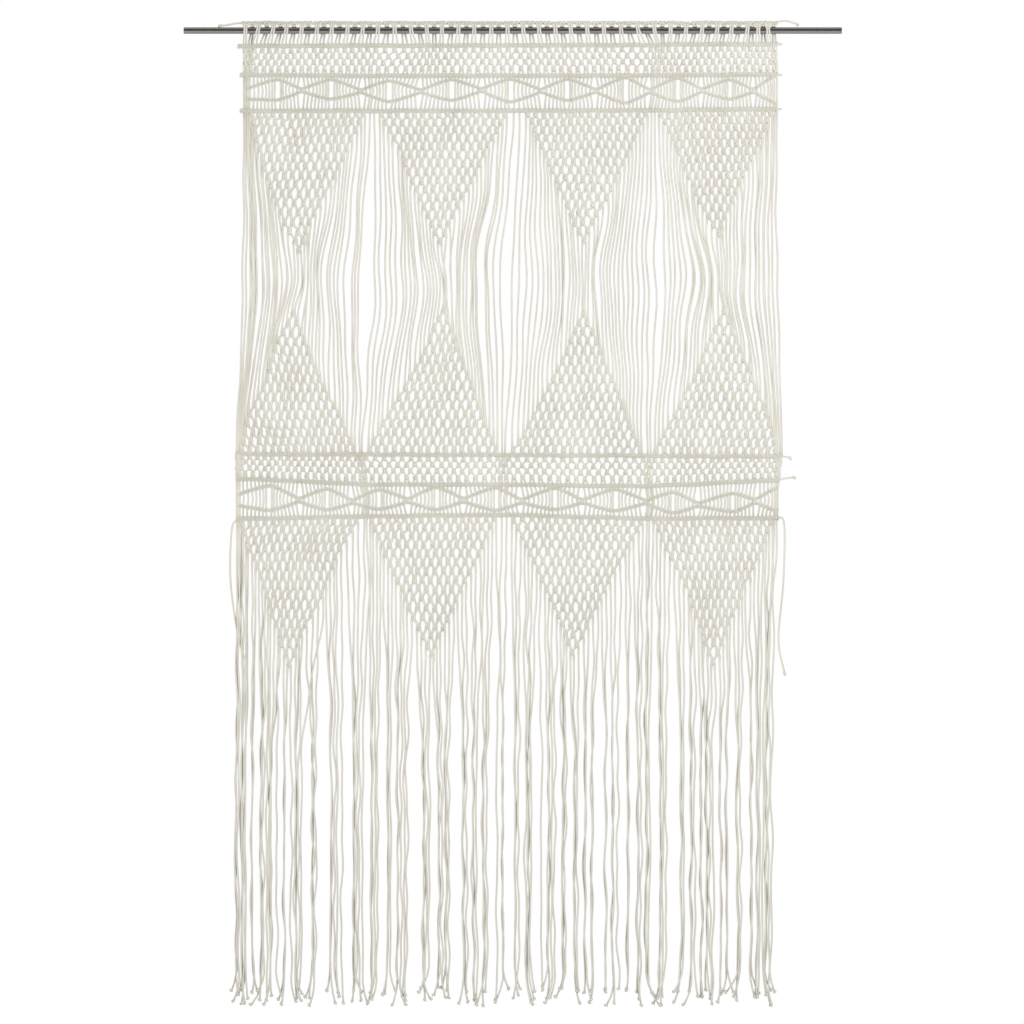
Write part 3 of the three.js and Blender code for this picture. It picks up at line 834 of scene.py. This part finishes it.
def barParts(name, seed):
    # Hitches from the bar's left tip to its last one, over a core that goes on to its right tip
    bar = bars[name]
    x = np.linspace(bar["left"] + barHitch["first"], bar["hitched"], barHitch["count"])
    z = barZ(name, x) + drift(x, 0, seed, **barDrift)
    coreX = np.linspace(bar["left"], bar["right"], barCore["points"])
    coreZ = barZ(name, coreX) + drift(coreX, 0, seed, **barDrift)
    core = tubes(stack(coreX, 0.0, coreZ)[None], barCore["radius"], cord["coreSides"], towardsY)
    return [hitches(x, z, barHitch, seed), core]


panelBars = []
for step, name in enumerate(("first", "second", "third", "fourth", "fifth")):
    panelBars += barParts(name, seed=80 + 2 * step)
makePiece("panel_bars", panelBars, cottonCord, "curtain_panel")
makePiece("fringe_bar", barParts("sixth", seed=95), cottonCord, "fringe")

# The ridges of a band meet at every second stop from the third on, and part most at the stops between.
# The stops are x, and the ridges the heights there of the upper ridge and of the lower one.
lozenges = [
    {
        "name": "upper",
        "over": "second",
        "under": "third",
        "stops": [
            -645, -572, -513, -442, -369, -301, -223, -149, -76, -6,
            69, 133, 203, 274, 333, 402, 460, 527, 585, 641,
        ],
        "ridges": [
            [
                -141, -119, -143, -119, -145, -122, -145, -119, -142, -118,
                -144, -118, -144, -114, -145, -115, -143, -119, -144, -110,
            ],
            [
                -167, -169, -148, -167, -150, -173, -150, -170, -147, -174,
                -149, -170, -149, -177, -150, -173, -148, -167, -149, -176,
            ],
        ],
        "slot": 0.075,  # half the gap in a lozenge's middle, in parts of half a lozenge
        "hitch": {"halfHeight": 3.0, "halfDepth": 3.7, "radius": 2.0},
    },
    {
        "name": "lower",
        "over": "fifth",
        "under": "sixth",
        "stops": [
            -665, -590, -520, -451, -390, -324, -255, -186, -120, -41,
            21, 104, 169, 248, 323, 390, 451, 536, 590, 644,
        ],
        "ridges": [
            [
                -1127, -1106, -1139, -1114, -1143, -1116, -1140, -1110, -1139, -1111,
                -1142, -1112, -1142, -1115, -1143, -1122, -1150, -1125, -1141, -1112,
            ],
            [
                -1155, -1167, -1145, -1166, -1149, -1164, -1146, -1165, -1145, -1167,
                -1148, -1165, -1148, -1168, -1149, -1173, -1156, -1170, -1147, -1168,
            ],
        ],
        "slot": 0.055,
        "hitch": {"halfHeight": 3.5, "halfDepth": 3.8, "radius": 2.1},
    },
]
lozengeShape = {
    "roundness": 1.22,  # above 1 a ridge's peaks are blunt
    "wedge": 0.07,  # half the gap at a crossing, in the same parts as the slot
    "crowd": 1.15,  # above 1 the strands crowd towards the slot
    "pinch": 3.2,  # between the ridges the strands draw towards the slot
    "uneven": 0.6,
    "swell": 0.8,
    "points": 5,  # between the ridges
    "radius": 2.55,
    "hitches": 272,
    "core": 2.0,
}


def lozengePlace(data, x):
    # Place across a lozenge, -1 at its left crossing, 0 in its middle and 1 at its right crossing,
    # the stop of that middle and the stop of the crossing on the place's side
    last = len(data["stops"]) - 1
    turn = np.interp(x, data["stops"], np.arange(last + 1))
    middle = np.minimum(2 * np.floor(turn / 2).astype(int) + 1, last)
    place = turn - middle
    return place, middle, np.clip(middle + np.where(place < 0, -1, 1), 0, last)


def ridgeZ(data, ridge, x):
    # Height of a ridge: from its middle's height to its crossing's by the power `roundness` of the place
    place, middle, edge = lozengePlace(data, x)
    heights = np.array(data["ridges"][ridge], float)
    return heights[middle] + (heights[edge] - heights[middle]) * np.abs(place) ** lozengeShape["roundness"]


def lozengeParts(data, seed):
    # A strand goes from the upper bar to its place on both ridges and to the lower bar. That place leaves
    # a slot in the middle of each lozenge and a wedge at its crossings, and crowds the strands between.
    chance = Shuffle(seed)
    shape = lozengeShape
    topX, footX = barX[data["over"]], barX[data["under"]]
    topZ, footZ = barZ(data["over"], topX), barZ(data["under"], footX)
    midX = (topX + footX) / 2
    place, middle, edge = lozengePlace(data, midX)
    reach = np.abs(np.take(data["stops"], edge) - np.take(data["stops"], middle))
    wedge = np.where(edge > 0, shape["wedge"], 0)
    crowded = np.abs(place) ** shape["crowd"]
    squeezed = np.sign(place) * (data["slot"] + (1 - data["slot"] - wedge) * crowded)
    ridgeX = midX + (squeezed - place) * reach
    upperZ, lowerZ = ridgeZ(data, 0, ridgeX), ridgeZ(data, 1, ridgeX)
    pinch = np.sign(place) * shape["pinch"] * np.sin(math.pi * np.abs(place))
    pinch = pinch + chance.spread(shape["uneven"], pinch.shape)
    share = np.linspace(0, 1, shape["points"] + 2)[1:-1]
    innerX = ridgeX[:, None] - pinch[:, None] * np.sin(math.pi * share)
    innerZ = upperZ[:, None] + (lowerZ - upperZ)[:, None] * share
    px = np.concatenate([topX[:, None], ridgeX[:, None], innerX, ridgeX[:, None], footX[:, None]], 1)
    pz = np.concatenate([topZ[:, None], upperZ[:, None], innerZ, lowerZ[:, None], footZ[:, None]], 1)
    py = np.sin(np.linspace(0, math.pi, px.shape[1])) * chance.spread(shape["swell"], (len(topX), 1))
    parts = [tubes(stack(px, py, pz), shape["radius"], cord["sides"], towardsY)]
    hitchX = np.linspace(data["stops"][0], data["stops"][-1], shape["hitches"])
    for ridge in range(2):
        hitchZ = ridgeZ(data, ridge, hitchX)
        parts.append(hitches(hitchX, hitchZ, data["hitch"], seed + ridge))
        core = stack(hitchX[::3], 0.0, hitchZ[::3])[None]  # one point for three hitches is enough
        parts.append(tubes(core, shape["core"], cord["sides"], towardsY))
    return parts


for step, data in enumerate(lozenges):
    makePiece(data["name"] + "_lozenges", lozengeParts(data, 200 + 10 * step), cottonCord, "curtain_panel")

header = {
    "left": -659,
    "right": 644,
    "height": 17.0,
    "drift": {"seed": 61, "amount": 0.8, "reach": 90},
    "legs": 2.5,  # half distance of a pair's two strands
    "front": 11.5,  # from the rod's axis to a strand that passes it
    "core": 2.2,
    "corePoints": 80,
}
# Lark's head: the outer loops and the bight, from the top of the left loop to that of the right one
bight = {
    "x": [-7.0, -7.3, -7.4, -7.0, -4.5, 0, 4.5, 7.0, 7.4, 7.3, 7.0],
    "y": [3.9, 2.6, -1.8, -4.6, -5.6, -6.3, -5.6, -4.6, -1.8, 2.6, 3.9],
    "z": [-1.5, 3.4, 4.4, -0.5, -4.6, -6.6, -4.6, -0.5, 4.4, 3.4, -1.5],
    "across": [0.15, -0.3, 1.0],
    "uneven": 0.1,
}


def headerParts():
    # Both strands of a pair go over the mounting cord, down past the rod, one pair in front of it and the
    # next behind it, and into the first bar. The points of the route are given one by one.
    x = pairX
    side = np.where(np.arange(len(x)) % 2 == 0, -1.0, 1.0)
    h = header["height"] + drift(x, 0, **header["drift"])
    parts = []
    for leg, sign in enumerate((-1, 1)):
        footX = barX["first"][leg::2]
        footZ = barZ("first", footX)
        legX = x + sign * header["legs"]
        xs = [x + sign * 6.6, x + sign * 3.6, x + sign * 2.9, x + sign * 2.6, legX, legX, legX]
        xs += [legX + (footX - legX) * share for share in (0.2, 0.5, 0.85, 1)]
        ys = [3.6, 3.7, 2.4, -1.9, -4.2, side * 5.0, side * header["front"], side * (header["front"] - 0.3)]
        ys += [side * 8.0, side * 3.4, 0]
        zs = [h - 2.5, h - 1.5, h + 3.3, h + 4.3, h - 0.5, h - 6.5, 6.0, -4.0, -15.0, -26.0, footZ]
        route = [np.stack([value + 0 * x for value in values], 1) for values in (xs, ys, zs)]
        parts.append(tubes(np.stack(route, 2), cord["radius"], cord["sides"], towardsX))
    wide = 1 + Shuffle(300).spread(bight["uneven"], (len(x), 1))
    loops = stack(x[:, None] + wide * bight["x"], np.array(bight["y"]), h[:, None] + bight["z"])
    parts.append(tubes(loops, cord["radius"], cord["sides"], np.array(bight["across"])))
    coreX = np.linspace(header["left"], header["right"], header["corePoints"])
    coreZ = header["height"] + drift(coreX, 0, **header["drift"])
    parts.append(tubes(stack(coreX, 0.0, coreZ)[None], header["core"], cord["coreSides"], towardsY))
    return parts


makePiece("header", headerParts(), cottonCord, "curtain_panel")

# Loose ends of the filler cords, each a smooth line through a few given places
tails = {
    "panel": [
        [[-652, 0, 18], [-672, 0, 18], [-692, -1, 14], [-712, 0, 11.6]],
        [[634, 0, 18], [655, 0, 23], [672, 0, 22], [692, 0, 15]],
        [[650, 0, -1036], [664, 0, -1037], [675, 0, -1040]],
        [[644, 0, -1094], [664, 0, -1089], [684, 0, -1087]],
    ],
    "fringe": [
        [[-668, 0, -1188], [-683, 1, -1212], [-687, 1, -1330], [-672, 0, -1450], [-654, 3, -1525]],
        [[642, 0, -1184], [660, 0, -1200], [658, 0, -1340], [646, 0, -1480], [661, 0, -1564]],
    ],
}
tailPoints = 24


def tailPart(places):
    # A smooth line through the places: cubic pieces whose slopes are the mean of their neighbours'
    places = np.array(places, float)
    slope = np.gradient(places, axis=0)
    at = np.linspace(0, len(places) - 1, tailPoints)
    first = np.minimum(at.astype(int), len(places) - 2)
    t = (at - first)[:, None]
    a, b, ma, mb = places[first], places[first + 1], slope[first], slope[first + 1]
    path = (2 * t ** 3 - 3 * t ** 2 + 1) * a + (t ** 3 - 2 * t ** 2 + t) * ma
    path = path + (3 * t ** 2 - 2 * t ** 3) * b + (t ** 3 - t ** 2) * mb
    return tubes(path[None], cord["radius"], cord["sides"], towardsY)


for name, stands in (("panel", "curtain_panel"), ("fringe", "fringe")):
    parts = [tailPart(places) for places in tails[name]]
    ends = np.array([places[-1] for places in tails[name]], float)
    parts.append(knotPart(ends[:, 0], ends[:, 2], seed=90, size=knot["endSize"]))
    makePiece(name + "_tails", parts, cottonCord, stands)

# From here on sizes are metres
view = {"distance": 12.0, "height": -1.1707, "side": -0.0018, "span": 2.490, "sensor": 36, "far": 100}


def addCamera():
    camera = bpy.data.cameras.new("camera")
    camera.sensor_width = view["sensor"]
    camera.lens = camera.sensor_width * view["distance"] / view["span"]
    camera.clip_end = view["far"]
    holder = bpy.data.objects.new("camera", camera)
    holder.location = (view["side"], -view["distance"], view["height"])
    holder.rotation_euler = (math.pi / 2, 0, 0)
    bpy.context.scene.collection.objects.link(holder)
    bpy.context.scene.camera = holder


paleFloor = {"half": 2.2, "level": -2.75, "colour": (0.9, 0.9, 0.89, 1), "roughness": 0.8}


def addFloor():
    half, level = paleFloor["half"], paleFloor["level"]
    corners = [(-half, -half, level), (half, -half, level), (half, half, level), (-half, half, level)]
    mesh = bpy.data.meshes.new("floor")
    mesh.from_pydata(corners, [], [(0, 1, 2, 3)])
    material, flow = startMaterial("paleFloor")
    endMaterial(flow, {"Base Color": paleFloor["colour"], "Roughness": paleFloor["roughness"]})
    mesh.materials.append(material)
    floor = bpy.data.objects.new("floor", mesh)
    bpy.context.scene.collection.objects.link(floor)


# The world is white for the eye. As light it is weaker, with a dark patch in front of the cloth, as a studio
# has, and a strip of light under that. Each pair says where a patch starts and where it is full.
studio = {
    "strength": 0.56,
    "darkness": 0.95,
    "stripLight": 0.95,
    "width": (0.55, 0.25),
    "front": (-0.2, -0.4),
    "darkHeight": 0.2,
    "darkReach": (0.5, 0.4),
    "stripHeight": -0.45,
    "stripReach": (0.2, 0.1),
}


def addWorld():
    world = bpy.data.worlds.new("studio")
    world.use_nodes = True
    world.node_tree.nodes.clear()
    flow = Flow(world.node_tree)
    seen = flow.make("ShaderNodeLightPath")  # 1 for what the camera sees
    way = flow.make("ShaderNodeTexCoord", {}, {}, direction)
    ahead = abs(way.part(0)).ramp(*studio["width"]) * way.part(1).ramp(*studio["front"])
    dark = abs(way.part(2) - studio["darkHeight"]).ramp(*studio["darkReach"])
    strip = abs(way.part(2) - studio["stripHeight"]).ramp(*studio["stripReach"])
    patched = 1 - ahead * dark * studio["darkness"] + ahead * strip * studio["stripLight"]
    strength = seen + (1 - seen) * (patched * studio["strength"])
    background = flow.make("ShaderNodeBackground", {}, {"Color": (1, 1, 1, 1), "Strength": strength})
    flow.make("ShaderNodeOutputWorld", {}, {"Surface": background})
    bpy.context.scene.world = world


lamps = {
    "key": {"energy": 222.0, "size": 2.5, "place": (2.4, -4.6, 1.2), "aim": (0, 0, -1.1)},
    "fill": {"energy": 100.0, "size": 3.0, "place": (-3.0, -4.2, -2.6), "aim": (0, 0, -1.5)},
}


def addLamp(name, energy, size, place, aim):
    # A square lamp, turned so that its back is away from the aim, and not mirrored in the rod
    lamp = bpy.data.lights.new(name, "AREA")
    lamp.energy = energy
    lamp.size = size
    holder = bpy.data.objects.new(name, lamp)
    holder.location = place
    back = np.array(place, float) - np.array(aim, float)
    down = math.atan2(math.hypot(back[0], back[1]), back[2])
    holder.rotation_euler = (down, 0, math.atan2(back[0], -back[1]))
    holder.visible_glossy = False
    bpy.context.scene.collection.objects.link(holder)


addCamera()
addFloor()
addWorld()
for name, lamp in lamps.items():
    addLamp(name, **lamp)
bpy.context.scene.view_settings.view_transform = "Standard"
print("stage, camera and lamps set")
